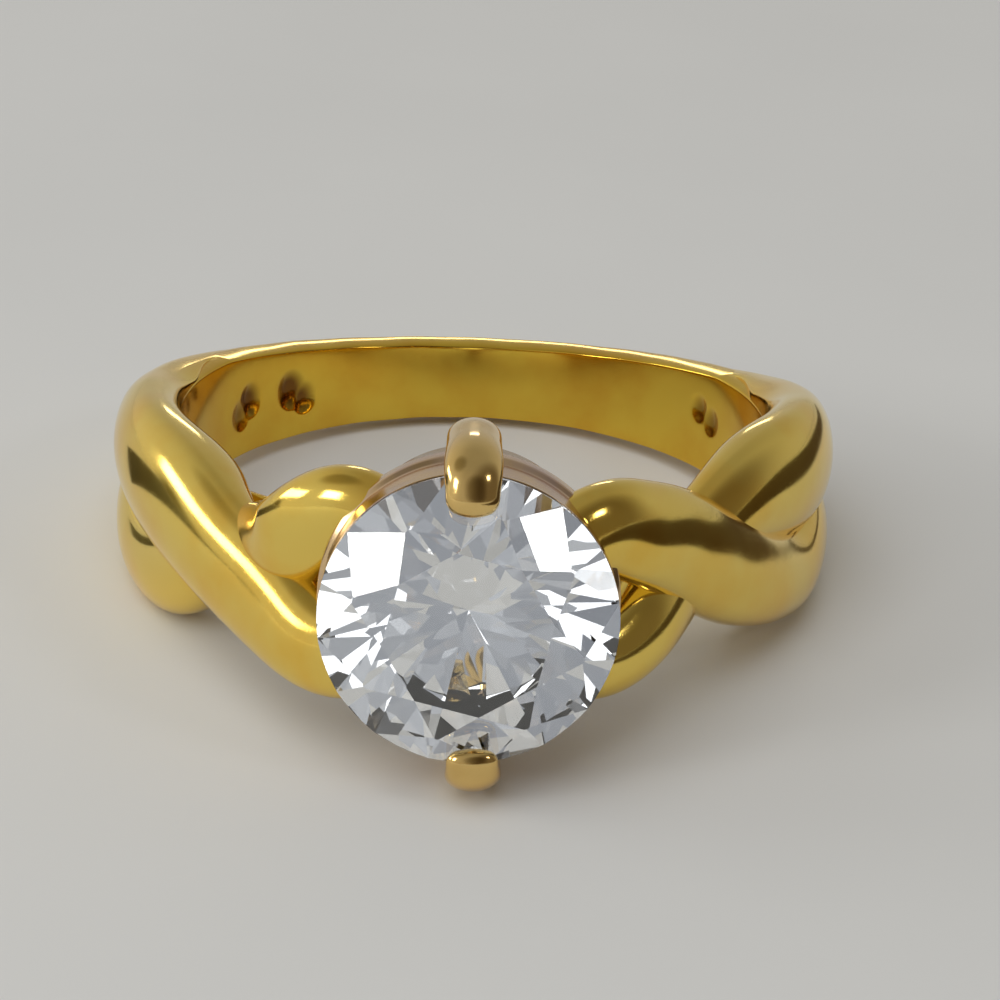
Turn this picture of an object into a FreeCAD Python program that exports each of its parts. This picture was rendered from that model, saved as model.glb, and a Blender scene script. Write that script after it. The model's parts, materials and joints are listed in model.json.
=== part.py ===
import FreeCAD, Part
import math
import os
from FreeCAD import Vector

# Solitaire engagement ring with twisted shoulders, in millimetres.
# The finger hole runs along Z with its centre at the origin, and the stone looks along -Y.
# The right shoulder is the left one turned half a turn about the stone's axis, as its wires
# were bent by hand: each side has its own routes, both written for the left.

# Finger hole and shank
finger_r = 8.25                 # inside radius, a 16.5 mm ring size
shank_flat = 1.08               # half width of the flat inside face at the back
shank_bulge = 0.15              # how far the rounded edges stand out past that face
shank_t = 1.45                  # thickness at the back
shank_widening = 0.82           # how quickly the half width grows away from the back
shank_thickening = 0.45         # how quickly the thickness grows away from the back
shank_end = 60.0                # degrees from the back where the twisted shoulders begin
shank_middle = 0.45             # where the section is broadest, as a share of its thickness
lining_t = 0.50                 # thin inner band that carries on under the shoulders
lining_half_w = 1.50

# Head: all depths run from the girdle's middle back towards the finger
head_h = 5.45                   # from the finger hole to the girdle
stone_r = 3.75
girdle_t = 0.14
table_share = 0.57              # table width as a share of the stone's width
crown_tilt = 34.0               # degrees, main crown facets
pavilion_tilt = 40.8            # degrees, main pavilion facets
facet_step = 45.0               # degrees between main facets
star_ease = 11.0                # star facets lie flatter than the main crown facets
half_ease = 7.0                 # facets round the girdle stand steeper above it
lower_ease = 1.2                # and a little steeper below it
stone_gap = 0.02                # play between the stone and its metal
collet_wall = 0.36
collet_inset = 0.03             # collet rim inside the stone's edge
collet_depth = 1.95             # back edge of the collet behind the girdle
rim_drop = 0.10                 # front rim of the collet behind the girdle
bezel_r = 2.90                  # base ring between the claws and the finger hole
bezel_wall = 0.75
bezel_depth = 4.05              # front face of the base ring behind the girdle

# Claws
claw_half_w = 0.72
claw_half_t = 0.50
claw_bite = 0.05                # how deep the claw is let into the collet wall
claw_rise = 0.28                # middle of the claw's tip above the crown
upper_claw_at = 90.0            # degrees round the stone, from +X towards +Z
lower_claw_at = 273.5
lower_claw_size = 0.86          # the lower claw is drawn from thinner wire

# Strands
left_over_w = 1.72              # broadest half width of each strand
left_under_w = 1.35
right_over_w = 1.52
right_under_w = 1.60
strand_t = 1.00                 # half thickness of the broadest part
trim_back = 0.50                # strands keep clear of the stone axis this far behind the collet

# Punch marks inside the shank: degrees from the back
punch_places = (-53.6, -40.6, 56.3)
punch_r = 0.50
punch_depth = 0.12

girdle_y = -(finger_r + head_h)
collet_r = stone_r - collet_inset


def save(shape, node):
    shape.exportStep("parts/" + node + ".step")
    box = shape.BoundBox
    print(node, shape.isValid(), len(shape.Solids), round(shape.Volume, 3),
          [round(v, 2) for v in (box.XMin, box.YMin, box.ZMin, box.XMax, box.YMax, box.ZMax)])


def on_band(angle, radius, z):
    """Point at an angle from the back of the ring, positive on the right."""
    a = math.radians(angle)
    return Vector(radius * math.sin(a), radius * math.cos(a), z)


def on_head(angle, radius, depth):
    """Point round the stone's axis, from +X towards +Z, at a depth behind the girdle."""
    a = math.radians(angle)
    return Vector(radius * math.cos(a), girdle_y + depth, radius * math.sin(a))


def oval(centre, along, outward, half_w, outer, inner):
    """Closed oval across a wire: half_w sideways, outer and inner away from the middle line."""
    along = Vector(along).normalize()
    out = (outward - along * outward.dot(along)).normalize()
    side = along.cross(out)
    points = []
    corners = 16
    for k in range(corners):
        a = 2 * math.pi * k / corners
        height = outer if math.sin(a) > 0 else inner
        points.append(centre + side * (half_w * math.cos(a)) + out * (height * math.sin(a)))
    curve = Part.BSplineCurve()
    curve.interpolate(Points=points, PeriodicFlag=True)
    return Part.Wire([curve.toShape()])


def solid_loft(wires):
    return Part.makeLoft(wires, True, False, False, 3)


def cylinder_y(radius, near, far):
    """Cylinder round the stone's axis between two depths behind the girdle."""
    return Part.makeCylinder(radius, far - near, Vector(0, girdle_y + near, 0), Vector(0, 1, 0))


def cylinder_z(radius):
    tall = 8 * stone_r
    return Part.makeCylinder(radius, tall, Vector(0, 0, -tall / 2))


def turned_half(shape):
    turned = shape.copy()
    turned.rotate(Vector(0, 0, 0), Vector(0, 1, 0), 180)
    return turned


def shank_flat_at(angle):
    return shank_flat + shank_widening * (1 - math.cos(math.radians(angle)))


def shank_t_at(angle):
    return shank_t + shank_thickening * (1 - math.cos(math.radians(angle)))


def shank_section(angle):
    """Rounded section whose inner side crosses the finger hole at the flat face's width."""
    t = shank_t_at(angle)
    flat = shank_flat_at(angle)
    half_w = flat + shank_bulge
    middle = shank_middle * t
    inner = middle / math.sqrt(1 - (flat / half_w) ** 2)
    centre = on_band(angle, finger_r + middle, 0)
    along = on_band(angle + 90, 1, 0)
    return oval(centre, along, on_band(angle, 1, 0), half_w, t - middle, inner)


def make_shank():
    steps = 8
    angles = [shank_end * (2 * k / steps - 1) for k in range(steps + 1)]
    body = solid_loft([shank_section(a) for a in angles])
    sweep = 360 - 2 * shank_end
    start = on_band(-shank_end, 1, 0)
    lining = Part.makeCylinder(finger_r + lining_t, 2 * lining_half_w, Vector(0, 0, -lining_half_w),
                               Vector(0, 0, 1), sweep)
    lining.rotate(Vector(0, 0, 0), Vector(0, 0, 1), math.degrees(math.atan2(start.y, start.x)))
    lining = lining.cut(cylinder_y(bezel_r, 0, head_h + finger_r / 2))
    shank = body.fuse(lining).cut(cylinder_z(finger_r))
    for angle in punch_places:
        shank = shank.cut(punch_mark(angle))
    return shank


def punch_mark(angle):
    """Plain round recess where a hallmark would be struck."""
    out = on_band(angle, 1, 0)
    start = on_band(angle, finger_r - punch_r, 0)
    return Part.makeCylinder(punch_r, punch_r + punch_depth, start, out)


def strand(rows, head_rows, half_w, room):
    """Loft through ovals: rows on the band first, then rows round the head.

    A band row is the angle from the back, the lift over the finger hole and z; a head row is
    the angle round the stone, the distance outside the collet and the depth. Both end with the
    half width and half thickness as shares of the strand's own.
    """
    centres = [on_band(-a, finger_r + lift, z) for a, lift, z, w, t in rows]
    centres += [on_head(a, collet_r + off, depth) for a, off, depth, w, t in head_rows]
    sizes = [(w, t) for a, lift, z, w, t in rows + head_rows]
    wires = []
    last = len(centres) - 1
    for k, centre in enumerate(centres):
        along = centres[min(k + 1, last)] - centres[max(k - 1, 0)]
        outward = Vector(centre.x, centre.y, 0)
        if k == 0:
            along = on_band(-shank_end - 90, 1, 0)
        width = sizes[k][0] * half_w
        thick = sizes[k][1] * strand_t
        wires.append(oval(centre, along, outward, width, thick, thick))
    shape = solid_loft(wires)
    shape = shape.cut(cylinder_z(finger_r + lining_t))
    shape = shape.cut(cylinder_y(collet_r, -head_h, collet_depth + trim_back))
    return shape.cut(room)


def make_left_over(room):
    """Starts high on the shoulder and crosses down to the stone's lower left."""
    rows = [
        (shank_end, 0.85, 0.55, 0.63, 0.82),
        (80, 0.88, 0.68, 0.73, 0.88),
        (98, 0.92, 0.68, 0.87, 0.94),
        (114, 1.03, 0.48, 1.00, 1.00),
        (129, 1.32, 0.12, 1.00, 0.97),
        (140, 1.80, -0.38, 0.93, 0.92),
        (150, 2.50, -0.86, 0.88, 0.85),
    ]
    head_rows = [
        (197, 0.83, 2.95, 0.81, 0.82),
        (206, 0.00, 1.85, 0.70, 0.75),
        (213, -1.50, 0.95, 0.56, 0.62),
    ]
    return strand(rows, head_rows, left_over_w, room)


def make_left_under(room, over):
    """Starts low, dives under its neighbour and comes up beside the stone's upper left."""
    rows = [
        (shank_end, 0.85, -0.60, 0.77, 0.82),
        (80, 0.85, -1.02, 0.88, 0.86),
        (98, 0.88, -1.58, 0.97, 0.90),
        (114, 0.92, -1.98, 1.00, 0.92),
        (126, 1.00, -1.55, 0.95, 0.88),
        (137, 1.22, -0.58, 0.66, 0.80),
        (147, 1.80, 0.10, 0.80, 0.78),
    ]
    head_rows = [
        (172, 0.92, 3.55, 1.04, 0.78),
        (147, 0.14, 2.35, 0.84, 0.74),
        (133, -1.45, 1.55, 0.66, 0.60),
    ]
    return strand(rows, head_rows, left_under_w, room).cut(over)


def make_right_over(room):
    """Hangs lower than the left one before it climbs to the stone's upper right."""
    rows = [
        (shank_end, 0.85, 0.60, 0.69, 0.82),
        (80, 0.88, 1.02, 0.78, 0.88),
        (98, 0.98, 1.46, 0.84, 0.94),
        (114, 1.08, 1.72, 0.82, 1.00),
        (129, 1.40, 1.12, 0.90, 0.97),
        (140, 1.84, 0.30, 0.98, 0.92),
        (150, 2.52, -0.72, 0.95, 0.85),
    ]
    head_rows = [
        (199, 0.83, 2.95, 0.88, 0.82),
        (210, 0.00, 1.85, 0.78, 0.75),
        (217, -1.50, 0.95, 0.63, 0.62),
    ]
    return turned_half(strand(rows, head_rows, right_over_w, room))


def make_right_under(room, over):
    """Broad where it leaves the band, then dives under and comes out at the lower right."""
    rows = [
        (shank_end, 0.85, -0.55, 0.68, 0.82),
        (80, 0.90, -0.75, 0.88, 0.88),
        (98, 0.98, -0.86, 1.08, 0.94),
        (114, 0.98, -0.98, 1.12, 0.94),
        (126, 1.00, -1.00, 0.98, 0.88),
        (137, 1.20, -0.55, 0.82, 0.80),
        (147, 1.72, 0.28, 0.80, 0.78),
    ]
    head_rows = [
        (167, 0.92, 3.55, 0.76, 0.78),
        (152, 0.00, 2.35, 0.66, 0.74),
        (141, -1.45, 1.55, 0.53, 0.60),
    ]
    return turned_half(strand(rows, head_rows, right_under_w, room)).cut(over)


def crown_h():
    return stone_r * (1 - table_share) * math.tan(math.radians(crown_tilt))


def pavilion_h():
    return stone_r * math.tan(math.radians(pavilion_tilt))


def half_space(tilt, azimuth, radius, height, upward):
    """Big box whose face is a facet plane through a point at a radius and height."""
    size = 6 * stone_r
    box = Part.makeBox(size, size, size, Vector(-size / 2, -size / 2, 0))
    box.rotate(Vector(0, 0, 0), Vector(0, 1, 0), tilt if upward else 180 - tilt)
    box.translate(Vector(radius, 0, height))
    box.rotate(Vector(0, 0, 0), Vector(0, 0, 1), azimuth)
    return box


def make_stone():
    """Round brilliant cut facet by facet, table towards +Z, then turned to face -Y."""
    top = girdle_t / 2
    table_r = stone_r * table_share
    table_z = top + crown_h()
    culet_z = -top - pavilion_h()
    stone = Part.makeCylinder(stone_r, table_z - culet_z, Vector(0, 0, culet_z))
    half_step = math.radians(facet_step / 2)
    star_r = table_r * math.cos(half_step)
    girdle_in = stone_r * math.cos(half_step / 2)
    families = [
        (crown_tilt, facet_step, 0, stone_r, top, True),
        (crown_tilt - star_ease, facet_step, facet_step / 2, star_r, table_z, True),
        (crown_tilt + half_ease, facet_step / 2, facet_step / 4, girdle_in, top, True),
        (pavilion_tilt, facet_step, 0, stone_r, -top, False),
        (pavilion_tilt + lower_ease, facet_step / 2, facet_step / 4, girdle_in, -top, False),
    ]
    for tilt, step, start, radius, height, upward in families:
        for k in range(round(360 / step)):
            stone = stone.cut(half_space(tilt, start + k * step, radius, height, upward))
    stone.rotate(Vector(0, 0, 0), Vector(1, 0, 0), 90)
    stone.translate(Vector(0, girdle_y, 0))
    return stone


def stone_room():
    """Round space that the stone needs, with its play, for everything that holds it."""
    r = stone_r + stone_gap
    top = girdle_t / 2 + stone_gap
    room = cylinder_y(r, -top, top)
    crown = Part.makeCone(r, r * table_share, crown_h(), Vector(0, girdle_y - top, 0),
                          Vector(0, -1, 0))
    pavilion = Part.makeCone(r, 0, pavilion_h() + stone_gap, Vector(0, girdle_y + top, 0),
                             Vector(0, 1, 0))
    return room.fuse(crown).fuse(pavilion)


def make_collet(room):
    wall = cylinder_y(collet_r, rim_drop, collet_depth)
    wall = wall.cut(cylinder_y(collet_r - collet_wall, rim_drop, collet_depth))
    return wall.cut(room)


def make_under_bezel():
    """Short tube saddled on the finger hole, under the collet."""
    deep = head_h + finger_r / 4
    tube = cylinder_y(bezel_r, bezel_depth, deep)
    tube = tube.cut(cylinder_y(bezel_r - bezel_wall, bezel_depth, deep))
    return tube.cut(cylinder_z(finger_r))


def make_claw(side, size, room, bezel_core):
    """Wire from the base ring past the collet and over the stone, turned to its side."""
    w = claw_half_w * size
    t = claw_half_t * size
    beside = collet_r + t - claw_bite
    slope = math.tan(math.radians(crown_tilt))

    def over_crown(radius):
        return -(stone_r - radius) * slope - claw_rise

    stations = [
        (bezel_depth + 0.60, bezel_r - 0.45, 0.80 * w, 0.80 * t),
        (bezel_depth - 0.35, bezel_r + 0.40, 0.86 * w, 0.90 * t),
        (collet_depth + 0.30, beside - 0.12, w, t),
        (collet_depth / 2, beside, w, t),
        (0.10, beside, w, t),
        (-0.48, beside - 0.25, 0.97 * w, 0.94 * t),
        (over_crown(3.55), 3.55, 0.92 * w, 0.84 * t),
        (over_crown(3.22), 3.22, 0.76 * w, 0.62 * t),
        (over_crown(3.05) + 0.06, 3.05, 0.45 * w, 0.32 * t),
    ]
    centres = [on_head(90, radius, depth) for depth, radius, a, b in stations]
    across = Vector(-1, 0, 0)
    wires = []
    last = len(centres) - 1
    for k, centre in enumerate(centres):
        along = centres[min(k + 1, last)] - centres[max(k - 1, 0)]
        outward = along.cross(across)
        half_w, half_t = stations[k][2:]
        wires.append(oval(centre, along, outward, half_w, half_t, half_t))
    claw = solid_loft(wires)
    claw = claw.cut(room)
    claw = claw.cut(cylinder_y(collet_r, 0, collet_depth))
    claw = claw.cut(bezel_core)
    claw.rotate(Vector(0, 0, 0), Vector(0, -1, 0), side - 90)
    return claw


def main():
    os.makedirs("parts", exist_ok=True)
    save(make_shank(), "shank")
    room = stone_room()
    left_over = make_left_over(room)
    right_over = make_right_over(room)
    save(left_over, "left_over_strand")
    save(make_left_under(room, left_over), "left_under_strand")
    save(right_over, "right_over_strand")
    save(make_right_under(room, right_over), "right_under_strand")
    save(make_collet(room), "collet")
    save(make_under_bezel(), "under_bezel")
    bezel_core = cylinder_y(bezel_r, bezel_depth, head_h + finger_r / 4)
    save(make_claw(upper_claw_at, 1, room, bezel_core), "upper_claw")
    save(make_claw(lower_claw_at, lower_claw_size, room, bezel_core), "lower_claw")
    save(make_stone(), "stone")


main()
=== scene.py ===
import json
import math
import bmesh
import bpy
import numpy as np
from mathutils import Matrix, Vector


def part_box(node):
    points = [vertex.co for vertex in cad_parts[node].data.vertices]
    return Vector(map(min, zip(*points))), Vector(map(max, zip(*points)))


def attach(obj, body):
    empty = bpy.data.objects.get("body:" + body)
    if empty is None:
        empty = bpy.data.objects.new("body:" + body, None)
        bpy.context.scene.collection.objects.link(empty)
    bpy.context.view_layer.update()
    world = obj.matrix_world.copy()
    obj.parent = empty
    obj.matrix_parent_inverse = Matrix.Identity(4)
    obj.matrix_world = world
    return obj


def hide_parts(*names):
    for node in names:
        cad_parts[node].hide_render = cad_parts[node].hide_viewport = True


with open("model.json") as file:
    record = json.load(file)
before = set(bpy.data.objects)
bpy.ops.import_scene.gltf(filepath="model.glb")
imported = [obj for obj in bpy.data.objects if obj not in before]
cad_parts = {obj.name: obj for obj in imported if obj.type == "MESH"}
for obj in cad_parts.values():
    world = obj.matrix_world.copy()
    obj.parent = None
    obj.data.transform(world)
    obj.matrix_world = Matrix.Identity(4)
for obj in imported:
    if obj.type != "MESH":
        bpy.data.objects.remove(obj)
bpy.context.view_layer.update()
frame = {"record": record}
mm = 0.001
print("frame loaded")

# sizes that every piece shares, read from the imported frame, in millimetres
fingerR = frame["record"]["mounts"][0]["dims"]["r_mm"]
colletBox = [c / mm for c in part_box("collet")]
stoneBox = [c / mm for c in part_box("stone")]
bezelBox = [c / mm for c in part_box("under_bezel")]
stoneR = stoneBox[1].x
colletR = colletBox[1].x
crownTilt = 34.0
pavilionTilt = 40.8
tableShare = 0.57
girdleT = 0.14
joinGap = 1e-7  # metres, points closer than this are one
waveCount = 14
crownH = stoneR * (1 - tableShare) * math.tan(math.radians(crownTilt))
girdleY = stoneBox[0].y + crownH + girdleT / 2
colletDepth = colletBox[1].y - girdleY


def onBand(angle, radius, z):  # degrees from the back of the ring, positive on the right
    a = math.radians(angle)
    return np.array([radius * math.sin(a), radius * math.cos(a), z])


def onHead(angle, radius, depth):  # degrees round the stone from +X to +Z, depth behind the girdle
    a = math.radians(angle)
    return np.array([radius * math.cos(a), girdleY + depth, radius * math.sin(a)])


def step01(x, low, high):
    t = np.clip((x - low) / (high - low), 0, 1)
    return t * t * (3 - 2 * t)


def smoothRows(rows, count):  # natural cubic through given rows, evenly spaced along the wire
    rows = np.array(rows, float)
    gaps = np.linalg.norm(np.diff(rows[:, :3], axis=0), axis=1)
    t = np.concatenate([[0], np.cumsum(gaps)])
    n = len(t)
    system = np.eye(n)
    right = np.zeros_like(rows)
    for k in range(1, n - 1):
        a, b = t[k] - t[k - 1], t[k + 1] - t[k]
        system[k, k - 1:k + 2] = a, 2 * (a + b), b
        right[k] = 6 * ((rows[k + 1] - rows[k]) / b - (rows[k] - rows[k - 1]) / a)
    bend = np.linalg.solve(system, right)
    at = np.linspace(0, t[-1], count)
    seg = np.clip(np.searchsorted(t, at, side="right") - 1, 0, n - 2)
    h = (t[seg + 1] - t[seg])[:, None]
    u = (at - t[seg])[:, None]
    v = h - u
    return (bend[seg] * v**3 + bend[seg + 1] * u**3) / (6 * h) \
        + (rows[seg] / h - bend[seg] * h / 6) * v + (rows[seg + 1] / h - bend[seg + 1] * h / 6) * u


def unit(v):
    return v / np.linalg.norm(v, axis=-1, keepdims=True)


def ovalRings(centres, outward, halfW, outer, inner, around, square=2.0):
    # closed sections: half an ellipse outside, a fuller curve inside
    along = unit(np.gradient(centres, axis=0))
    out = unit(outward - along * (outward * along).sum(1, keepdims=True))
    side = np.cross(along, out)
    a = np.linspace(0, 2 * math.pi, around, endpoint=False)
    c, s = np.cos(a), np.sin(a)
    power = np.where(s > 0, 1.0, 2.0 / square)
    cw = np.sign(c) * np.abs(c) ** power
    sw = np.sign(s) * np.abs(s) ** power
    tall = np.where(s[None, :] > 0, outer[:, None], inner[:, None]) * sw[None, :]
    wide = halfW[:, None] * cw[None, :]
    return centres[:, None, :] + side[:, None, :] * wide[..., None] + out[:, None, :] * tall[..., None]


def worn(rings, centres, sizes):  # the slight waviness that years of rubbing leave
    random = np.random.default_rng(sizes["seed"])
    waves = unit(random.normal(size=(waveCount, 3)))
    waves = waves * (2 * math.pi / random.uniform(*sizes["wave"], waveCount))[:, None]
    starts = random.uniform(0, 2 * math.pi, waveCount)
    height = np.sin(rings @ waves.T + starts).sum(-1) / math.sqrt(waveCount)
    return rings + unit(rings - centres[:, None, :]) * (height * sizes["deep"])[..., None]


def clearBore(points, radius, soft=0.05):  # files the inside flat to the finger hole
    r = np.hypot(points[..., 0], points[..., 1])
    over = r - radius
    new = radius + 0.5 * (over + np.sqrt(over**2 + soft**2))
    k = new / r
    return points * np.stack([k, k, np.ones_like(k)], -1)


def clearHead(points, radius):  # keeps a strand's end inside the collet's wall
    r = np.hypot(points[..., 0], points[..., 2])
    k = np.where(r < radius, radius / np.maximum(r, 1e-6), 1.0)
    return points * np.stack([k, np.ones_like(k), k], -1)


def cleanMesh(mesh):
    bm = bmesh.new()
    bm.from_mesh(mesh)
    bmesh.ops.remove_doubles(bm, verts=bm.verts, dist=joinGap)
    bmesh.ops.recalc_face_normals(bm, faces=bm.faces)
    bm.to_mesh(mesh)
    bm.free()


def meshPiece(name, verts, faces, material, shadeAmount=None):  # the last argument: how much painted shade each point gets, 0 to 1
    mesh = bpy.data.meshes.new(name)
    mesh.from_pydata([tuple(v) for v in np.asarray(verts) * mm], [], faces)
    mesh.update()
    paintedShade = mesh.attributes.new("paintedShade", "FLOAT", "POINT")
    paintedShade.data.foreach_set("value", np.zeros(len(verts)) if shadeAmount is None else np.asarray(shadeAmount, float))
    piece = bpy.data.objects.new(name, mesh)
    bpy.context.collection.objects.link(piece)
    cleanMesh(mesh)
    mesh.materials.append(material)
    mesh.shade_smooth()
    return piece


def tubePiece(name, rings, material, shadeAmount=None):  # rings of points joined into a closed skin
    count, around = rings.shape[:2]
    verts = list(rings.reshape(-1, 3))
    verts += [rings[0].mean(0), rings[-1].mean(0)]
    faces = []
    for i in range(count - 1):
        for j in range(around):
            k = (j + 1) % around
            faces.append((i * around + j, i * around + k, (i + 1) * around + k, (i + 1) * around + j))
    first, last = count * around, count * around + 1
    end = (count - 1) * around
    for j in range(around):
        k = (j + 1) % around
        faces.append((first, k, j))
        faces.append((last, end + j, end + k))
    if shadeAmount is not None:
        shadeAmount = np.concatenate([shadeAmount.ravel(), [0, 0]])
    return meshPiece(name, verts, faces, material, shadeAmount)


# finishes
def node(tree, kind, **values):  # a new node with its settings and unlinked sockets filled in
    made = tree.nodes.new(kind)
    for key, value in values.items():
        if hasattr(made, key):
            setattr(made, key, value)
        else:
            made.inputs[key].default_value = value
    return made


def colourMix(tree, first, second, blend="MIX"):  # the colour sockets of a Mix node, by place
    made = node(tree, "ShaderNodeMix", data_type="RGBA", blend_type=blend)
    factor, a, b = made.inputs[0], made.inputs[6], made.inputs[7]
    a.default_value = (*first, 1)
    b.default_value = (*second, 1)
    return factor, a, b, made.outputs[2]


goldWork = dict(cloudDetail=4.0, cloudRough=0.55, toneFrom=0.42, toneTo=0.68, hairDetail=2.0, hairRough=0.6,
                hairStretch=30, hairFrom=0.60, hairTo=0.74, fineTimes=3, fineDetail=3.0, softDetail=0.5,
                rippleHeight=0.00002, scratchHeight=0.000008)


def goldFinish(name, values):
    material = bpy.data.materials.new(name)
    material.use_nodes = True
    tree = material.node_tree
    link = tree.links.new
    shader = tree.nodes["Principled BSDF"]
    shader.inputs["Metallic"].default_value = 1.0
    place = node(tree, "ShaderNodeTexCoord")
    cloud = node(tree, "ShaderNodeTexNoise", Scale=values["cloudScale"], Detail=goldWork["cloudDetail"],
                 Roughness=goldWork["cloudRough"])
    link(place.outputs["Object"], cloud.inputs["Vector"])
    factor, _, _, tone = colourMix(tree, values["colour"], values["warm"])
    spread = node(tree, "ShaderNodeMapRange")
    spread.inputs["From Min"].default_value = goldWork["toneFrom"]
    spread.inputs["From Max"].default_value = goldWork["toneTo"]
    link(cloud.outputs["Fac"], spread.inputs["Value"])
    link(spread.outputs["Result"], factor)
    # painted shade: where the mesh's per-point shade attribute is set (the punch marks), the base colour
    # goes towards the dark shade tone
    shadeMask = node(tree, "ShaderNodeAttribute", attribute_name="paintedShade")
    shadeShare, unshadedTone, _, dressed = colourMix(tree, values["colour"], values["paintedShade"])
    link(shadeMask.outputs["Fac"], shadeShare)
    link(tone, unshadedTone)
    link(dressed, shader.inputs["Base Color"])
    height = None  # brushed hairlines in two directions
    for turn in values["hairTurns"]:
        lay = node(tree, "ShaderNodeMapping")
        lay.inputs["Rotation"].default_value = [math.radians(t) for t in turn]
        fineness = values["hairScale"]
        lay.inputs["Scale"].default_value = (fineness, fineness / goldWork["hairStretch"], fineness)
        hair = node(tree, "ShaderNodeTexNoise", Scale=1.0, Detail=goldWork["hairDetail"],
                    Roughness=goldWork["hairRough"])
        cut = node(tree, "ShaderNodeMapRange")
        cut.inputs["From Min"].default_value = goldWork["hairFrom"]
        cut.inputs["From Max"].default_value = goldWork["hairTo"]
        link(place.outputs["Object"], lay.inputs["Vector"])
        link(lay.outputs["Vector"], hair.inputs["Vector"])
        link(hair.outputs["Fac"], cut.inputs["Value"])
        if height is None:
            height = cut.outputs["Result"]
        else:
            both = node(tree, "ShaderNodeMath", operation="MAXIMUM")
            link(height, both.inputs[0])
            link(cut.outputs["Result"], both.inputs[1])
            height = both.outputs[0]
    rough = node(tree, "ShaderNodeMapRange")
    rough.inputs["To Min"].default_value = values["roughLow"]
    rough.inputs["To Max"].default_value = values["roughHigh"]
    fine = node(tree, "ShaderNodeTexNoise", Scale=values["cloudScale"] * goldWork["fineTimes"],
                Detail=goldWork["fineDetail"])
    link(place.outputs["Object"], fine.inputs["Vector"])
    link(fine.outputs["Fac"], rough.inputs["Value"])
    link(rough.outputs["Result"], shader.inputs["Roughness"])
    soft = node(tree, "ShaderNodeTexNoise", Scale=values["rippleScale"], Detail=goldWork["softDetail"])
    link(place.outputs["Object"], soft.inputs["Vector"])
    ripple = node(tree, "ShaderNodeBump", Strength=values["ripple"], Distance=goldWork["rippleHeight"])
    link(soft.outputs["Fac"], ripple.inputs["Height"])
    scratch = node(tree, "ShaderNodeBump", Strength=values["scratch"], Distance=goldWork["scratchHeight"],
                   invert=True)
    link(height, scratch.inputs["Height"])
    link(ripple.outputs["Normal"], scratch.inputs["Normal"])
    link(scratch.outputs["Normal"], shader.inputs["Normal"])
    return material


paintedShadeTone = (0.20, 0.09, 0.02)  # painted shade: the dark brown laid into the punch-mark hollows
bandGold = dict(paintedShade=paintedShadeTone, colour=(0.83, 0.56, 0.07), warm=(0.76, 0.45, 0.05), cloudScale=420.0,
                hairScale=16000.0, hairTurns=((0, 0, 20), (60, 0, -35)), roughLow=0.08, roughHigh=0.17,
                rippleScale=700.0, ripple=0.35, scratch=0.06)
strandGold = dict(paintedShade=paintedShadeTone, colour=(0.90, 0.66, 0.15), warm=(0.88, 0.57, 0.10), cloudScale=420.0,
                  hairScale=14000.0, hairTurns=((0, 0, 50), (40, 20, -25)), roughLow=0.07, roughHigh=0.16,
                  rippleScale=450.0, ripple=0.3, scratch=0.07)
settingGold = dict(paintedShade=paintedShadeTone, colour=(0.74, 0.52, 0.28), warm=(0.62, 0.46, 0.38), cloudScale=600.0,
                   hairScale=18000.0, hairTurns=((0, 0, 90), (90, 0, 10)), roughLow=0.12, roughHigh=0.24,
                   rippleScale=900.0, ripple=0.3, scratch=0.06)
clawGold = dict(paintedShade=paintedShadeTone, colour=(0.84, 0.60, 0.23), warm=(0.76, 0.50, 0.17), cloudScale=500.0,
                hairScale=16000.0, hairTurns=((0, 0, 90), (90, 0, 30)), roughLow=0.08, roughHigh=0.17,
                rippleScale=900.0, ripple=0.3, scratch=0.07)
stoneLook = dict(ior=2.2, coatRough=0.12, hazeScale=900.0, hazeDetail=3.0, hazeFrom=0.3, hazeTo=0.7,
                 hazeMost=0.25, clear=(0.985, 0.99, 1.0), dull=(0.96, 0.985, 0.985))


def stoneFinish(values):
    material = bpy.data.materials.new("clearStone")
    material.use_nodes = True
    tree = material.node_tree
    shader = tree.nodes["Principled BSDF"]
    shader.inputs["Transmission Weight"].default_value = 1.0
    shader.inputs["IOR"].default_value = values["ior"]
    shader.inputs["Roughness"].default_value = 0.0
    shader.inputs["Coat Roughness"].default_value = values["coatRough"]
    place = node(tree, "ShaderNodeTexCoord")
    haze = node(tree, "ShaderNodeTexNoise", Scale=values["hazeScale"], Detail=values["hazeDetail"])
    film = node(tree, "ShaderNodeMapRange")  # a thin uneven film of handling
    film.inputs["From Min"].default_value = values["hazeFrom"]
    film.inputs["From Max"].default_value = values["hazeTo"]
    film.inputs["To Min"].default_value = 0.0
    film.inputs["To Max"].default_value = values["hazeMost"]
    tree.links.new(place.outputs["Object"], haze.inputs["Vector"])
    tree.links.new(haze.outputs["Fac"], film.inputs["Value"])
    tree.links.new(film.outputs["Result"], shader.inputs["Coat Weight"])
    factor, _, _, colour = colourMix(tree, values["clear"], values["dull"])
    tree.links.new(haze.outputs["Fac"], factor)
    tree.links.new(colour, shader.inputs["Base Color"])
    return material


# shank: the band at the back, thinning to a lining under the shoulders
shankSizes = dict(
    wear=dict(seed=3, wave=(1.0, 2.6), deep=0.006), flat=1.08, bulge=0.15, thick=1.45, widening=0.82,
    thickening=0.45, middle=0.45, fullness=1.6, square=2.3, shoulder=60.0, thinFrom=56.0, thinTo=104.0,
    liningT=0.5, liningHalfW=1.35, liningEndW=0.75, taperFrom=104.0, taperTo=130.0, endGap=0.2, steps=560,
    around=150, markSkin=0.12, markStretch=0.85, markSharp=1.3, markShadeDepth=0.12,
    marks=((-53.4, 0.12, 0.50, 0.15), (-56.4, -0.26, 0.46, 0.10), (-41.6, 0.14, 0.56, 0.16),
           (-38.4, -0.16, 0.46, 0.13), (54.4, 0.38, 0.40, 0.09), (58.4, 0.10, 0.42, 0.09)))


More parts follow.
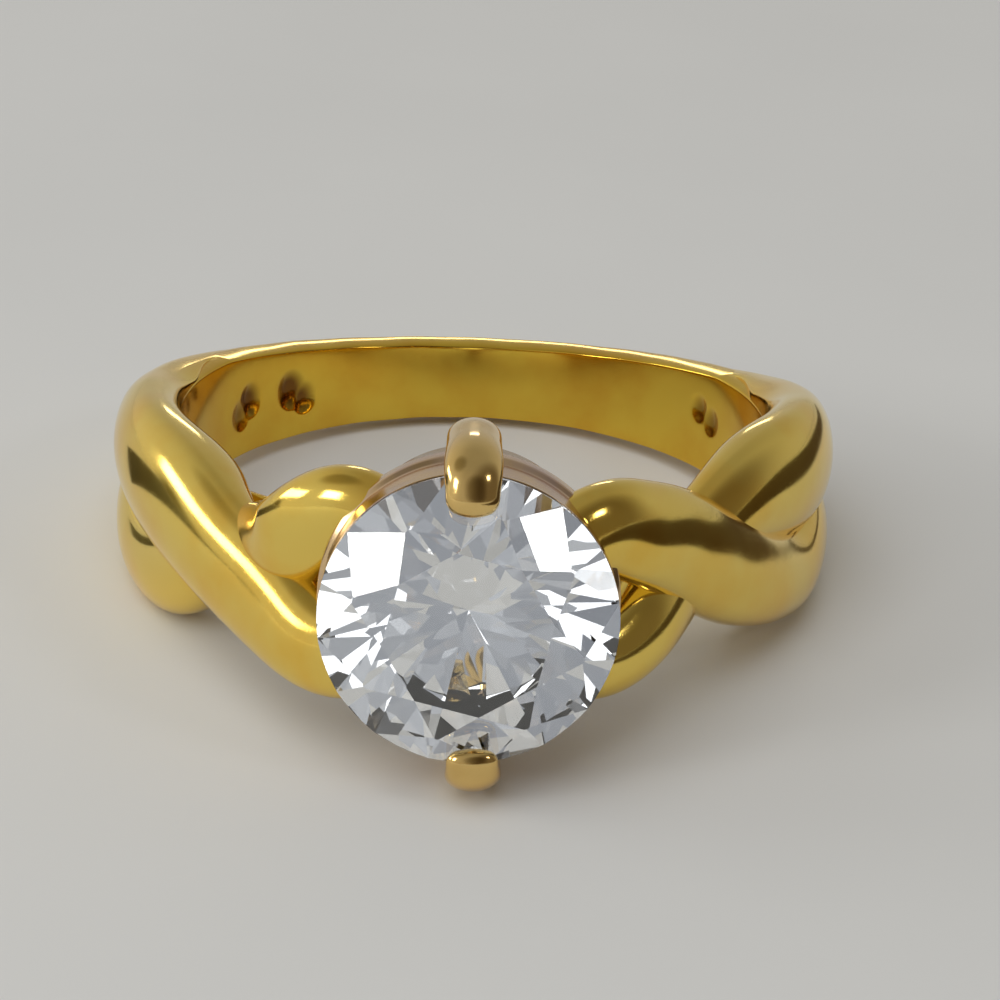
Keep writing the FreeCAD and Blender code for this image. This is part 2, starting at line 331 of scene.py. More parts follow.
def makeShank(sizes, material):
    reach = math.degrees(math.acos(-math.sqrt(1 - (bezelBox[1].x / fingerR) ** 2))) - sizes["endGap"]
    angles = np.linspace(-reach, reach, sizes["steps"])
    fromBack = np.abs(angles)
    a = np.radians(np.minimum(fromBack, sizes["shoulder"]))
    flat = sizes["flat"] + sizes["widening"] * (1 - np.cos(a))
    thick = sizes["thick"] + sizes["thickening"] * (1 - np.cos(a))
    thin = step01(fromBack, sizes["thinFrom"], sizes["thinTo"])
    taper = step01(fromBack, sizes["taperFrom"], sizes["taperTo"])
    lining = sizes["liningHalfW"] + (sizes["liningEndW"] - sizes["liningHalfW"]) * taper
    halfW = (flat + sizes["bulge"]) * (1 - thin) + lining * thin
    thick = thick * (1 - thin) + sizes["liningT"] * thin
    middle = sizes["middle"] * thick
    inner = np.maximum(middle / np.sqrt(1 - (1 - sizes["bulge"] / halfW) ** 2), middle * sizes["fullness"])
    centres = np.array([onBand(t, fingerR + m, 0) for t, m in zip(angles, middle)])
    outward = np.array([onBand(t, 1, 0) for t in angles])
    rings = ovalRings(centres, outward, halfW, thick - middle, inner, sizes["around"], sizes["square"])
    rings = clearBore(worn(rings, centres, sizes["wear"]), fingerR)
    r = np.hypot(rings[..., 0], rings[..., 1])
    turn = np.degrees(np.arctan2(rings[..., 0], rings[..., 1]))
    hollow = np.zeros(r.shape)
    inside = r < fingerR + sizes["markSkin"]
    for angle, z, size, depth in sizes["marks"]:  # worn punch marks with nothing in them
        along = np.radians(turn - angle) * fingerR
        far = np.hypot(along, (rings[..., 2] - z) * sizes["markStretch"]) / size
        bowl = np.clip(1 - far**2, 0, 1) ** sizes["markSharp"] * inside
        hollow = np.maximum(hollow, bowl * depth)
    k = (r + hollow) / r
    rings = rings * np.stack([k, k, np.ones_like(k)], -1)
    # the punch marks get painted shade, darker the deeper the dent
    return tubePiece("band", rings, material, np.clip(hollow / sizes["markShadeDepth"], 0, 1))


# shoulder strands: routes written for the left, the right ones turned half a turn
# band rows: degrees from the back, lift over the finger hole, z, half width, half thickness
# head rows: degrees round the stone, distance outside the collet, depth behind the girdle, the same two
strandRoutes = dict(
    leftOverStrand=dict(node="left_over_strand", lean=3, seed=5, right=False, width=1.72, band=(
        (38, 0.62, 0.40, 0.50, 0.55), (50, 0.80, 0.48, 0.57, 0.72),
        (60, 0.85, 0.55, 0.63, 0.82), (80, 0.88, 0.68, 0.73, 0.88), (98, 0.92, 0.68, 0.87, 0.94),
        (114, 1.03, 0.48, 1.00, 1.00), (129, 1.32, 0.12, 1.00, 0.97), (140, 1.80, -0.38, 0.93, 0.92),
        (150, 2.50, -0.86, 0.88, 0.85)), head=(
        (197, 0.83, 2.95, 0.81, 0.82), (206, 0.00, 1.85, 0.70, 0.75), (213, -1.50, 0.95, 0.56, 0.62))),
    leftUnderStrand=dict(node="left_under_strand", lean=0, seed=6, right=False, width=1.35, band=(
        (38, 0.62, -0.42, 0.60, 0.55), (50, 0.80, -0.50, 0.69, 0.72),
        (60, 0.85, -0.60, 0.77, 0.82), (80, 0.85, -1.02, 0.88, 0.86), (98, 0.88, -1.58, 0.97, 0.90),
        (114, 0.92, -1.98, 1.00, 0.92), (126, 1.00, -1.55, 0.95, 0.88), (137, 1.22, -0.58, 0.68, 0.80),
        (147, 1.80, 0.08, 0.84, 0.78)), head=(
        (172, 0.91, 3.55, 1.00, 0.78), (147, 0.10, 2.35, 0.80, 0.74), (131, -1.45, 1.55, 0.66, 0.60))),
    rightOverStrand=dict(node="right_over_strand", lean=-16, seed=7, right=True, width=1.52, band=(
        (38, 0.62, 0.42, 0.54, 0.55), (50, 0.80, 0.50, 0.62, 0.72),
        (60, 0.85, 0.60, 0.69, 0.82), (80, 0.88, 1.02, 0.78, 0.88), (98, 0.98, 1.46, 0.84, 0.94),
        (114, 1.08, 1.72, 0.82, 1.00), (129, 1.40, 1.12, 0.90, 0.97), (140, 1.84, 0.30, 0.98, 0.92),
        (150, 2.52, -0.72, 0.95, 0.85)), head=(
        (199, 0.83, 2.95, 0.88, 0.82), (210, 0.00, 1.85, 0.78, 0.75), (217, -1.50, 0.95, 0.63, 0.62))),
    rightUnderStrand=dict(node="right_under_strand", lean=0, seed=8, right=True, width=1.60, band=(
        (38, 0.62, -0.40, 0.54, 0.55), (50, 0.80, -0.48, 0.61, 0.72),
        (60, 0.85, -0.55, 0.68, 0.82), (80, 0.90, -0.75, 0.88, 0.88), (98, 0.98, -0.86, 1.08, 0.94),
        (114, 0.98, -0.98, 1.12, 0.94), (126, 1.00, -1.00, 0.98, 0.88), (137, 1.20, -0.55, 0.82, 0.80),
        (147, 1.72, 0.28, 0.80, 0.78)), head=(
        (167, 0.92, 3.55, 0.76, 0.78), (152, 0.00, 2.35, 0.66, 0.74), (141, -1.45, 1.55, 0.53, 0.60))))


strandSizes = dict(wave=(1.9, 4.6), deep=0.011, fillTo=133, fillBack=0.15, steps=280, around=96, square=2.6,
                   leanFrom=(108, 128), leanTo=(158, 166), boreGap=0.02, markGap=0.4, markRoom=(63, 76),
                   wallBite=0.12)


def makeStrand(name, route, sizes, material):
    rows = []
    for angle, lift, z, w, t in route["band"]:
        fill = lift + sizes["fillBack"] if angle < sizes["fillTo"] else t
        rows.append((*onBand(-angle, fingerR + lift, z), w * route["width"], t, fill))
    for angle, off, depth, w, t in route["head"]:
        rows.append((*onHead(angle, colletR + off, depth), w * route["width"], t, t))
    fine = smoothRows(rows, sizes["steps"])
    centres = fine[:, :3]
    turn = np.degrees(np.arctan2(np.abs(centres[:, 0]), centres[:, 1]))
    outward = unit(centres * [1, 1, 0])
    leaning = step01(turn, *sizes["leanFrom"]) * (1 - step01(turn, *sizes["leanTo"]))
    tip = np.tan(np.radians(route["lean"])) * leaning
    outward = unit(outward + np.stack([tip * 0, tip * 0, tip], -1))
    rings = ovalRings(centres, outward, fine[:, 3], fine[:, 4], fine[:, 5], sizes["around"], sizes["square"])
    rings = worn(rings, centres, dict(seed=route["seed"], wave=sizes["wave"], deep=sizes["deep"]))
    gap = sizes["boreGap"] + sizes["markGap"] * (1 - step01(turn, *sizes["markRoom"]))
    rings = clearBore(rings, (fingerR + gap)[:, None])
    rings = clearHead(rings, colletR - sizes["wallBite"])
    if route["right"]:
        rings = rings * [-1, 1, -1]
    return tubePiece(name, rings, material)


# claws: bent wire from the base ring over the stone's edge
# foot rows start at the base ring, stem rows at a share of the collet's depth, tip rows at the girdle
# each row: depth, distance in or out, half width, half thickness
clawSizes = dict(
    halfW=0.72, halfT=0.50, bite=0.05, steps=150, around=64, square=2.1,
    foot=((0.60, -0.30, 0.80, 0.80), (-0.35, 0.40, 0.86, 0.90)),
    stem=((1.0, 0.30, -0.12, 0.94, 1.0), (0.5, 0.0, 0.0, 0.96, 1.0), (0.0, 0.10, 0.0, 0.99, 1.0)),
    tip=((-0.36, 0.12, 1.0, 0.97), (-0.64, 0.37, 0.97, 0.92), (-0.79, 0.66, 0.93, 0.82),
         (-0.86, 0.90, 0.88, 0.72), (-0.88, 1.04, 0.76, 0.58), (-0.89, 1.14, 0.54, 0.40),
         (-0.89, 1.20, 0.22, 0.18)),
    upper=dict(at=90.0, size=1.0, wide=1.0, reach=1.0),
    lower=dict(at=273.5, size=0.86, wide=1.14, reach=0.80))


def makeClaw(name, sizes, claw, material):
    side, size, reach = claw["at"], claw["size"], claw["reach"]
    halfW, halfT = sizes["halfW"] * size * claw["wide"], sizes["halfT"] * size
    beside = colletR + halfT - sizes["bite"]
    bend = beside - sizes["halfT"] * (1 - size)
    base = bezelBox[0].y - girdleY
    rows = [(base + d, bezelBox[1].x + r, w, t) for d, r, w, t in sizes["foot"]]
    rows += [(colletDepth * share + d, beside + r, w, t) for share, d, r, w, t in sizes["stem"]]
    rows += [(d, bend - r * reach, w, t) for d, r, w, t in sizes["tip"]]
    fine = smoothRows([(*onHead(side, r, d), w * halfW, t * halfT) for d, r, w, t in rows], sizes["steps"])
    across = onHead(side - 90, 1, 0) - onHead(side, 0, 0)
    along = unit(np.gradient(fine[:, :3], axis=0))
    outward = np.cross(along, across[None, :])
    rings = ovalRings(fine[:, :3], outward, fine[:, 3], fine[:, 4], fine[:, 4], sizes["around"],
                      sizes["square"])
    return tubePiece(name, rings, material)


# collet and base ring: a drawn section carried round the stone's axis
def newTree(name, inputs):
    tree = bpy.data.node_groups.new(name, "GeometryNodeTree")
    face = tree.interface
    for title, kind in (("Geometry", "Geometry"), *inputs, ("Finish", "Material")):
        face.new_socket(title, in_out="INPUT", socket_type="NodeSocket" + kind)
    face.new_socket("Geometry", in_out="OUTPUT", socket_type="NodeSocketGeometry")
    return tree, tree.links.new, tree.nodes.new("NodeGroupInput"), tree.nodes.new("NodeGroupOutput")


def setInputs(modifier, values):  # by the sockets' identifiers, before anything is evaluated
    for item in modifier.node_group.interface.items_tree:
        if item.in_out == "INPUT" and item.name in values:
            modifier[item.identifier] = values[item.name]


def ringTree():
    tree, link, start, end = newTree("ringFromSection", (("Steps", "Int"), ("Radius", "Float")))
    path = node(tree, "GeometryNodeCurvePrimitiveCircle")
    link(start.outputs["Steps"], path.inputs["Resolution"])
    link(start.outputs["Radius"], path.inputs["Radius"])
    sweep = tree.nodes.new("GeometryNodeCurveToMesh")
    link(path.outputs["Curve"], sweep.inputs["Curve"])
    link(start.outputs["Geometry"], sweep.inputs["Profile Curve"])
    turn = tree.nodes.new("GeometryNodeTransform")
    turn.inputs["Rotation"].default_value = (math.radians(90), 0, 0)
    link(sweep.outputs["Mesh"], turn.inputs["Geometry"])
    real = tree.nodes.new("GeometryNodeRealizeInstances")
    link(turn.outputs["Geometry"], real.inputs["Geometry"])
    dress = tree.nodes.new("GeometryNodeSetMaterial")
    link(real.outputs["Geometry"], dress.inputs["Geometry"])
    link(start.outputs["Finish"], dress.inputs["Material"])
    link(dress.outputs["Geometry"], end.inputs["Geometry"])
    return tree


ringSizes = dict(steps=192, cornerSteps=5, cornerShare=0.45)


def roundCorners(points, radius):  # a closed outline with every corner eased
    points = [np.array(p, float) for p in points]
    most = ringSizes["cornerShare"]
    made = []
    for k, here in enumerate(points):
        before, after = points[k - 1], points[(k + 1) % len(points)]
        a = here + unit(before - here) * min(radius, np.linalg.norm(before - here) * most)
        b = here + unit(after - here) * min(radius, np.linalg.norm(after - here) * most)
        for t in np.linspace(0, 1, ringSizes["cornerSteps"]):
            made.append((1 - t) ** 2 * a + 2 * t * (1 - t) * here + t**2 * b)
    return made


def makeRing(name, outline, tree, material):  # outline: radius and depth behind the girdle
    curve = bpy.data.curves.new(name, "CURVE")
    curve.dimensions = "2D"
    line = curve.splines.new("POLY")
    line.points.add(len(outline) - 1)
    for point, (radius, depth) in zip(line.points, outline):
        point.co = ((radius - colletR) * mm, depth * mm, 0, 1)
    line.use_cyclic_u = True
    holder = bpy.data.objects.new(name + "Section", curve)
    bpy.context.collection.objects.link(holder)
    swept = holder.modifiers.new("swept", "NODES")
    swept.node_group = tree
    setInputs(swept, {"Steps": ringSizes["steps"], "Radius": colletR * mm, "Finish": material})
    shown = holder.evaluated_get(bpy.context.evaluated_depsgraph_get())
    mesh = bpy.data.meshes.new_from_object(shown)
    mesh.name = name
    bpy.data.objects.remove(holder)
    co = np.empty(len(mesh.vertices) * 3)
    mesh.vertices.foreach_get("co", co)
    co = co.reshape(-1, 3)
    piece = bpy.data.objects.new(name, mesh)
    bpy.context.collection.objects.link(piece)
    return piece, co


def settleRing(piece, co, saddle=None):
    co = co + np.array([0, girdleY * mm, 0])
    if saddle is not None:  # points further behind the collet than this follow the finger hole
        behind = co[:, 1] > (girdleY + colletDepth + saddle) * mm
        co[behind, 1] = -np.sqrt((fingerR * mm) ** 2 - co[behind, 0] ** 2)
    piece.data.vertices.foreach_set("co", co.ravel())
    cleanMesh(piece.data)
    piece.data.shade_smooth()
    return piece


colletSizes = dict(wall=0.36, lip=0.03, bead=0.10, ease=0.05, seatGap=0.03, frontGap=0.06, lipEnd=0.14,
                   neckFrom=0.24, neckTo=0.55, beadFrom=0.40)
bezelSizes = dict(wall=0.75, ease=0.12, deep=1.2, saddle=3.0)


def makeCollet(sizes, tree, material):
    inner = colletR - sizes["wall"]
    seat = (stoneR - inner) * math.tan(math.radians(pavilionTilt)) + girdleT / 2 + sizes["seatGap"]
    front = (stoneR - colletR) + girdleT / 2 + sizes["frontGap"]
    wide, narrow, foot = colletR + sizes["lip"], colletR - sizes["lip"], colletR + sizes["bead"]
    outline = [(wide, front), (wide, front + sizes["lipEnd"]), (narrow, front + sizes["neckFrom"]),
               (narrow, colletDepth - sizes["neckTo"]), (foot, colletDepth - sizes["beadFrom"]),
               (foot, colletDepth), (inner, colletDepth), (inner, seat)]
    piece, co = makeRing("collet_ring", roundCorners(outline, sizes["ease"]), tree, material)
    return settleRing(piece, co)


def makeBaseRing(sizes, tree, material):
    outer = bezelBox[1].x
    near = bezelBox[0].y - girdleY
    far = near + sizes["deep"]
    outline = [(outer, near), (outer, far), (outer - sizes["wall"], far), (outer - sizes["wall"], near)]
    piece, co = makeRing("base_ring", roundCorners(outline, sizes["ease"]), tree, material)
    return settleRing(piece, co, sizes["saddle"])


# stone: a round brilliant, one eighth ground flat by flat and repeated round the axis
stoneSizes = dict(starEase=11.0, halfEase=7.0, lowerEase=1.2, repeats=8, turned=9.0, rimSteps=24,
                  cutGap=1e-5, seamGap=0.002, flatWithin=0.2)


def stoneEighth(sizes):
    top = girdleT / 2
    tableZ = top + crownH
    culetZ = -top - stoneR * math.tan(math.radians(pavilionTilt))
    step = 360.0 / sizes["repeats"]
    bm = bmesh.new()
    bmesh.ops.create_cone(bm, cap_ends=True, segments=sizes["rimSteps"] * sizes["repeats"],
                          radius1=stoneR, radius2=stoneR, depth=tableZ - culetZ)
    bmesh.ops.translate(bm, verts=bm.verts, vec=(0, 0, (tableZ + culetZ) / 2))
    starR = stoneR * tableShare * math.cos(math.radians(step / 2))
    girdleIn = stoneR * math.cos(math.radians(step / 4))
    families = (  # tilt, share of a step between flats, where the first is, radius, height, up or down
        (crownTilt, 1, 0, stoneR, top, 1),
        (crownTilt - sizes["starEase"], 1, 0.5, starR, tableZ, 1),
        (crownTilt + sizes["halfEase"], 0.5, 0.25, girdleIn, top, 1),
        (pavilionTilt, 1, 0, stoneR, -top, -1),
        (pavilionTilt + sizes["lowerEase"], 0.5, 0.25, girdleIn, -top, -1))
    for tilt, share, start, radius, height, up in families:
        for k in range(round(360 / (step * share))):
            azimuth = math.radians(step * (start + k * share))
            lean = math.radians(tilt)
            normal = Vector((math.sin(lean) * math.cos(azimuth), math.sin(lean) * math.sin(azimuth),
                             up * math.cos(lean)))
            point = Vector((radius * math.cos(azimuth), radius * math.sin(azimuth), height))
            cutFlat(bm, point, normal, sizes["cutGap"], True)
    for edge in (-0.5, 0.5):  # keeps one wedge, from main flat to main flat
        azimuth = math.radians(step * edge)
        normal = Vector((-math.sin(azimuth), math.cos(azimuth), 0)) * (1 if edge > 0 else -1)
        cutFlat(bm, Vector((0, 0, 0)), normal, sizes["cutGap"], False)
    mesh = bpy.data.meshes.new("eighth")
    bmesh.ops.scale(bm, verts=bm.verts, vec=(mm, mm, mm))
    bm.to_mesh(mesh)
    bm.free()
    return mesh


def cutFlat(bm, point, normal, gap, close):
    cut = bmesh.ops.bisect_plane(bm, geom=bm.verts[:] + bm.edges[:] + bm.faces[:], dist=gap,
                                 plane_co=point, plane_no=normal, clear_outer=True)
    rim = [e for e in cut["geom_cut"] if isinstance(e, bmesh.types.BMEdge)]
    if close and len(rim) > 2:
        bmesh.ops.contextual_create(bm, geom=rim)


def repeatTree(sizes):
    tree, link, start, end = newTree("repeatRound", (("Repeats", "Int"), ("Turned", "Float"),
                                                     ("Behind", "Float")))
    spots = tree.nodes.new("GeometryNodePoints")
    link(start.outputs["Repeats"], spots.inputs["Count"])
    number = tree.nodes.new("GeometryNodeInputIndex")
    share = node(tree, "ShaderNodeMath", operation="DIVIDE")
    link(number.outputs["Index"], share.inputs[0])
    link(start.outputs["Repeats"], share.inputs[1])
    angle = node(tree, "ShaderNodeMath", operation="MULTIPLY_ADD")
    angle.inputs[1].default_value = 2 * math.pi
    link(share.outputs[0], angle.inputs[0])
    link(start.outputs["Turned"], angle.inputs[2])
    about = tree.nodes.new("ShaderNodeCombineXYZ")
    link(angle.outputs[0], about.inputs["Z"])
    setOut = tree.nodes.new("GeometryNodeInstanceOnPoints")
    link(spots.outputs[0], setOut.inputs["Points"])
    link(start.outputs["Geometry"], setOut.inputs["Instance"])
    link(about.outputs["Vector"], setOut.inputs["Rotation"])
    stand = tree.nodes.new("GeometryNodeTransform")
    stand.inputs["Rotation"].default_value = (math.radians(90), 0, 0)
    shift = tree.nodes.new("ShaderNodeCombineXYZ")
    link(start.outputs["Behind"], shift.inputs["Y"])
    link(shift.outputs["Vector"], stand.inputs["Translation"])
    link(setOut.outputs["Instances"], stand.inputs["Geometry"])
    real = tree.nodes.new("GeometryNodeRealizeInstances")
    link(stand.outputs["Geometry"], real.inputs["Geometry"])
    join = tree.nodes.new("GeometryNodeMergeByDistance")
    join.inputs["Distance"].default_value = sizes["seamGap"] * mm
    link(real.outputs["Geometry"], join.inputs["Geometry"])
    dress = tree.nodes.new("GeometryNodeSetMaterial")
    link(join.outputs["Geometry"], dress.inputs["Geometry"])
    link(start.outputs["Finish"], dress.inputs["Material"])
    link(dress.outputs["Geometry"], end.inputs["Geometry"])
    return tree


def makeStone(sizes, material):
    holder = bpy.data.objects.new("eighth", stoneEighth(sizes))
    bpy.context.collection.objects.link(holder)
    modifier = holder.modifiers.new("repeated", "NODES")
    modifier.node_group = repeatTree(sizes)
    setInputs(modifier, {"Repeats": sizes["repeats"], "Turned": math.radians(sizes["turned"]),
                         "Behind": girdleY * mm, "Finish": material})
    shown = holder.evaluated_get(bpy.context.evaluated_depsgraph_get())
    mesh = bpy.data.meshes.new_from_object(shown)
    mesh.name = "brilliant"
    bpy.data.objects.remove(holder)
    bm = bmesh.new()
    bm.from_mesh(mesh)
    within = math.radians(sizes["flatWithin"])
    bmesh.ops.dissolve_limit(bm, angle_limit=within, verts=bm.verts, edges=bm.edges)
    bmesh.ops.recalc_face_normals(bm, faces=bm.faces)
    openEdges = sum(1 for e in bm.edges if len(e.link_faces) != 2)
    bm.to_mesh(mesh)
    bm.free()
    mesh.shade_flat()
    print("stone flats", len(mesh.polygons), "open edges", openEdges)
    piece = bpy.data.objects.new("brilliant", mesh)
    bpy.context.collection.objects.link(piece)
    return piece


# assembly
def place(piece, cadNode, slotName):
    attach(piece, "root")
    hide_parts(cadNode)


bandMetal = goldFinish("bandGold", bandGold)
strandMetal = goldFinish("strandGold", strandGold)
settingMetal = goldFinish("settingGold", settingGold)
clawMetal = goldFinish("clawGold", clawGold)
place(makeShank(shankSizes, bandMetal), "shank", "gold_shank")
print("band done")
for name, route in strandRoutes.items():
    place(makeStrand(name, route, strandSizes, strandMetal), route["node"], "gold_strand")
print("strands done")
sweepTree = ringTree()
place(makeCollet(colletSizes, sweepTree, settingMetal), "collet", "gold_setting")
place(makeBaseRing(bezelSizes, sweepTree, settingMetal), "under_bezel", "gold_setting")
place(makeClaw("claw_upper", clawSizes, clawSizes["upper"], clawMetal), "upper_claw", "gold_claw")
place(makeClaw("claw_lower", clawSizes, clawSizes["lower"], clawMetal), "lower_claw", "gold_claw")
print("setting done")
place(makeStone(stoneSizes, stoneFinish(stoneLook)), "stone", "stone")
print("stone done")

# stage: pale table top that the ring leans on, soft light, camera
stageSizes = dict(half=0.30, lean=8.5, low=-4.68, lowAt=-13.3, colour=(0.74, 0.745, 0.74), patchy=0.04,
                  patchScale=60.0, patchDetail=3.0, rough=0.75, shine=0.2, clothLift=0.3, clothRough=0.9)


def makeTable(sizes):
    lean = math.radians(sizes["lean"])
    bm = bmesh.new()
    bmesh.ops.create_grid(bm, x_segments=2, y_segments=2, size=sizes["half"])
    bmesh.ops.rotate(bm, verts=bm.verts, cent=(0, 0, 0), matrix=Matrix.Rotation(lean, 3, "X"))
    drop = (sizes["low"] - sizes["lowAt"] * math.tan(lean)) * mm
    bmesh.ops.translate(bm, verts=bm.verts, vec=(0, 0, drop))
    mesh = bpy.data.meshes.new("tableTop")
    bm.to_mesh(mesh)
    bm.free()
    material = bpy.data.materials.new("paleTable")
    material.use_nodes = True
    tree = material.node_tree
    shader = tree.nodes["Principled BSDF"]
    shader.inputs["Roughness"].default_value = sizes["rough"]
    shader.inputs["Specular IOR Level"].default_value = sizes["shine"]
    spot = node(tree, "ShaderNodeTexCoord")
    cloud = node(tree, "ShaderNodeTexNoise", Scale=sizes["patchScale"], Detail=sizes["patchDetail"])
    darker, lighter = ([c * (1 + way * sizes["patchy"]) for c in sizes["colour"]] for way in (-1, 1))
    factor, _, _, tone = colourMix(tree, darker, lighter)
    tree.links.new(spot.outputs["Object"], cloud.inputs["Vector"])
    tree.links.new(cloud.outputs["Fac"], factor)
    tree.links.new(tone, shader.inputs["Base Color"])
    mesh.materials.append(material)
    table = bpy.data.objects.new("tableTop", mesh)
    bpy.context.collection.objects.link(table)


makeTable(stageSizes)

darkCloths = (  # lie on the table beside the ring and show only in the polished metal
    dict(corners=((17, -60), (150, -60), (150, 45), (24, 45)), colour=(0.060, 0.040, 0.020)),
    dict(corners=((-15, 2), (-22, 10), (-250, 110), (-250, 20)), colour=(0.050, 0.045, 0.020)))


def makeCloths(rows, sizes):
    slope = math.tan(math.radians(sizes["lean"]))
    for k, row in enumerate(rows):
        mesh = bpy.data.meshes.new(f"darkCloth{k}")
        verts = []
        for x, y in row["corners"]:
            height = sizes["low"] + (y - sizes["lowAt"]) * slope + sizes["clothLift"]
            verts.append((x * mm, y * mm, height * mm))
        mesh.from_pydata(verts, [], [(0, 1, 2, 3)])
        material = bpy.data.materials.new(f"darkCloth{k}")
        material.use_nodes = True
        shader = material.node_tree.nodes["Principled BSDF"]
        shader.inputs["Base Color"].default_value = (*row["colour"], 1)
        shader.inputs["Roughness"].default_value = sizes["clothRough"]
        mesh.materials.append(material)
        cloth = bpy.data.objects.new(f"darkCloth{k}", mesh)
        cloth.visible_camera = False
        cloth.visible_diffuse = False
        cloth.visible_shadow = False
        cloth.visible_transmission = False
        bpy.context.collection.objects.link(cloth)


makeCloths(darkCloths, stageSizes)

lightSizes = dict(
    strength=1.0, throughStone=(0.58, 0.64, 0.74), throughShare=0.45, behind=(0.60, 0.59, 0.57),
    bands=((0.00, (0.42, 0.41, 0.39)), (0.45, (0.45, 0.44, 0.42)), (0.62, (0.44, 0.43, 0.41)),
           (0.85, (0.36, 0.35, 0.33)), (0.95, (0.31, 0.30, 0.28))))
roomParts = (  # direction, reach from and to in degrees, how much of the light is left there
    dict(at=(-0.93, 0.20, 0.18), near=15, far=75, left=(1.45, 1.45, 1.43)),
    dict(at=(0.75, -0.60, 0.15), near=30, far=66, left=(0.36, 0.31, 0.25)),
    dict(at=(0.15, -0.95, 0.27), near=12, far=36, left=(0.42, 0.38, 0.32)),
    dict(at=(-0.94, 0.33, 0.00), near=4, far=10, left=(0.20, 0.18, 0.10)),
    dict(at=(-0.62, -0.10, 0.90), near=8, far=24, left=(0.55, 0.52, 0.42)))
lamps = dict(
    windowLow=dict(at=(-0.278, 0.036, 0.075), size=(0.17, 0.045), power=0.13, colour=(1.0, 0.99, 0.96),
                   soft=False, through=False),
    windowLeft=dict(at=(-0.226, -0.160, 0.084), size=(0.07, 0.07), power=0.115, colour=(1.0, 0.99, 0.97),
                    soft=False, through=False),
    windowRight=dict(at=(0.190, -0.160, 0.149), size=(0.042, 0.044), power=0.045, colour=(1.0, 0.99, 0.98),
                     soft=False, through=False),
    windowBack=dict(at=(0.00, 0.274, 0.095), size=(0.04, 0.02), power=0.010, colour=(1.0, 0.99, 0.98),
                    soft=False, through=True),
    overhead=dict(at=(-0.09, -0.23, 0.37), size=(0.42, 0.42), power=0.80, colour=(0.98, 0.99, 1.0),
                  soft=True, through=True))


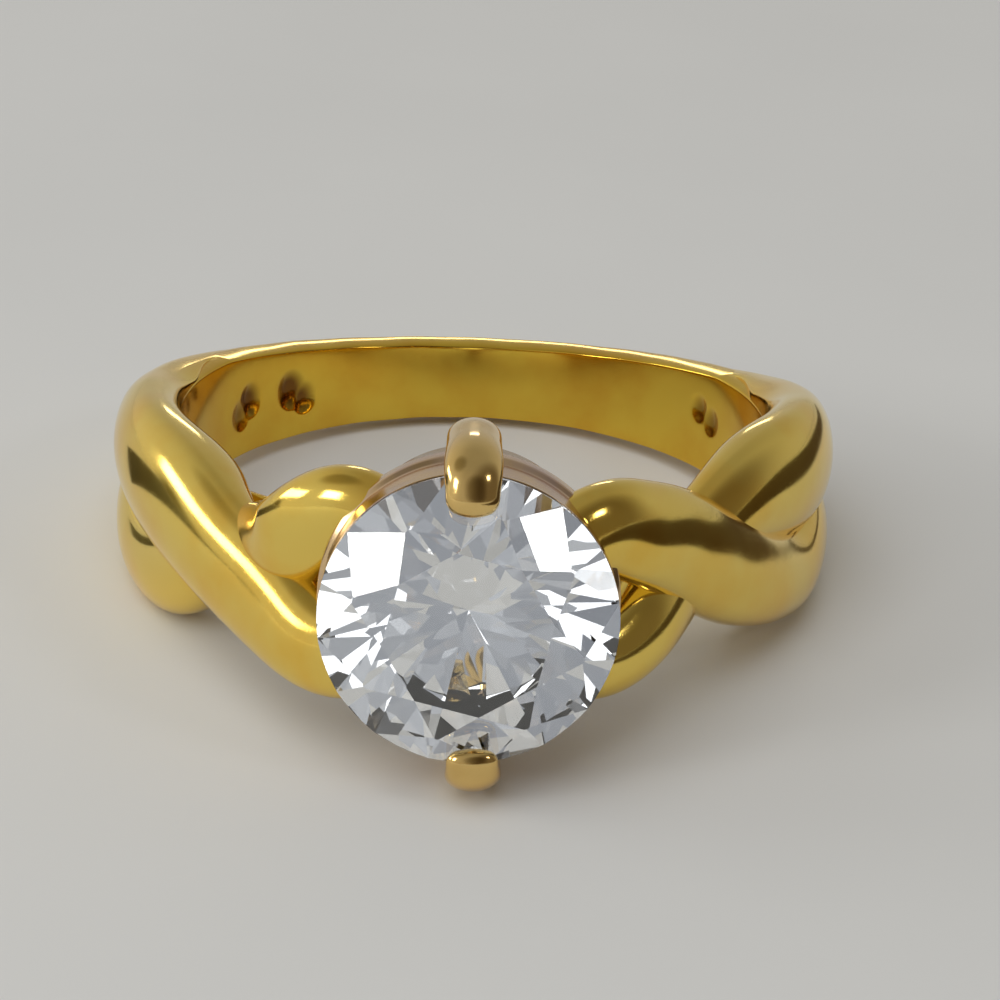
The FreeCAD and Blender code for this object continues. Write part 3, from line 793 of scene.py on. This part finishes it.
def makeWorld(sizes, parts):
    world = bpy.data.worlds.new("roomLight")
    bpy.context.scene.world = world
    world.use_nodes = True
    tree = world.node_tree
    link = tree.links.new
    back = tree.nodes["Background"]
    back.inputs["Strength"].default_value = sizes["strength"]
    spot = node(tree, "ShaderNodeTexCoord")
    split = node(tree, "ShaderNodeSeparateXYZ")
    link(spot.outputs["Generated"], split.inputs["Vector"])
    ramp = node(tree, "ShaderNodeValToRGB")
    bar = ramp.color_ramp
    bar.elements.remove(bar.elements[1])
    for k, (height, colour) in enumerate(sizes["bands"]):
        stop = bar.elements[0] if k == 0 else bar.elements.new(height)
        stop.position = height
        stop.color = (*colour, 1)
    rise = node(tree, "ShaderNodeMapRange")
    rise.inputs["From Min"].default_value = -1.0
    link(split.outputs["Z"], rise.inputs["Value"])
    link(rise.outputs["Result"], ramp.inputs["Fac"])
    colour = ramp.outputs["Color"]
    for card in parts:
        toward = node(tree, "ShaderNodeVectorMath", operation="DOT_PRODUCT")
        toward.inputs[1].default_value = Vector(card["at"]).normalized()
        link(spot.outputs["Generated"], toward.inputs[0])
        shade = node(tree, "ShaderNodeMapRange", interpolation_type="SMOOTHSTEP")
        shade.inputs["From Min"].default_value = math.cos(math.radians(card["far"]))
        shade.inputs["From Max"].default_value = math.cos(math.radians(card["near"]))
        link(toward.outputs["Value"], shade.inputs["Value"])
        factor, under, _, covered = colourMix(tree, (0, 0, 0), card["left"], "MULTIPLY")
        link(shade.outputs["Result"], factor)
        link(colour, under)
        colour = covered
    ray = node(tree, "ShaderNodeLightPath")
    for kind, shown, share in (("Is Transmission Ray", sizes["throughStone"], sizes["throughShare"]),
                               ("Is Camera Ray", sizes["behind"], 1.0)):
        factor, under, _, covered = colourMix(tree, (0, 0, 0), shown)
        part = node(tree, "ShaderNodeMath", operation="MULTIPLY")
        part.inputs[1].default_value = share
        link(ray.outputs[kind], part.inputs[0])
        link(part.outputs[0], factor)
        link(colour, under)
        colour = covered
    link(colour, back.inputs["Color"])


def makeLamps(rows):
    for name, row in rows.items():
        light = bpy.data.lights.new(name, "AREA")
        light.shape = "RECTANGLE"
        light.size, light.size_y = row["size"]
        light.energy = row["power"]
        light.color = row["colour"]
        lamp = bpy.data.objects.new(name, light)
        lamp.visible_glossy = not row["soft"]  # the overhead one only lights the table
        lamp.visible_transmission = row["through"]  # windows seen through every flat whiten the stone
        lamp.location = row["at"]
        lamp.rotation_euler = (-Vector(row["at"])).to_track_quat("-Z", "Y").to_euler()
        bpy.context.collection.objects.link(lamp)


cameraSizes = dict(elevation=16.8, azimuth=-0.2, roll=2.0, away=99.4, lens=126.0, film=36.0,
                   aimRight=0.795, aimUp=-1.136, nearest=0.005, farthest=5.0)


def makeCamera(sizes):
    el, az, roll = (math.radians(sizes[k]) for k in ("elevation", "azimuth", "roll"))
    back = Vector((math.sin(az) * math.cos(el), -math.cos(az) * math.cos(el), math.sin(el)))
    spot = back * sizes["away"]
    right = (-back).cross(Vector((0, 0, 1))).normalized()
    up = right.cross(-back)
    rollRight = right * math.cos(roll) + up * math.sin(roll)
    rollUp = up * math.cos(roll) - right * math.sin(roll)
    target = rollRight * sizes["aimRight"] + rollUp * sizes["aimUp"]
    ahead = (target - spot).normalized()
    side = ahead.cross(rollUp).normalized()
    top = side.cross(ahead)
    lens = bpy.data.cameras.new("portrait")
    lens.sensor_width = sizes["film"]
    lens.lens = sizes["lens"]
    lens.clip_start = sizes["nearest"]
    lens.clip_end = sizes["farthest"]
    camera = bpy.data.objects.new("portrait", lens)
    bpy.context.collection.objects.link(camera)
    turn = Matrix((side, top, -ahead)).transposed().to_4x4()
    camera.matrix_world = Matrix.Translation(spot * mm) @ turn
    bpy.context.scene.camera = camera


makeWorld(lightSizes, roomParts)
makeLamps(lamps)
makeCamera(cameraSizes)
print("stage done")
bpy.context.scene.view_settings.view_transform = "Standard"

bpy.context.view_layer.update()
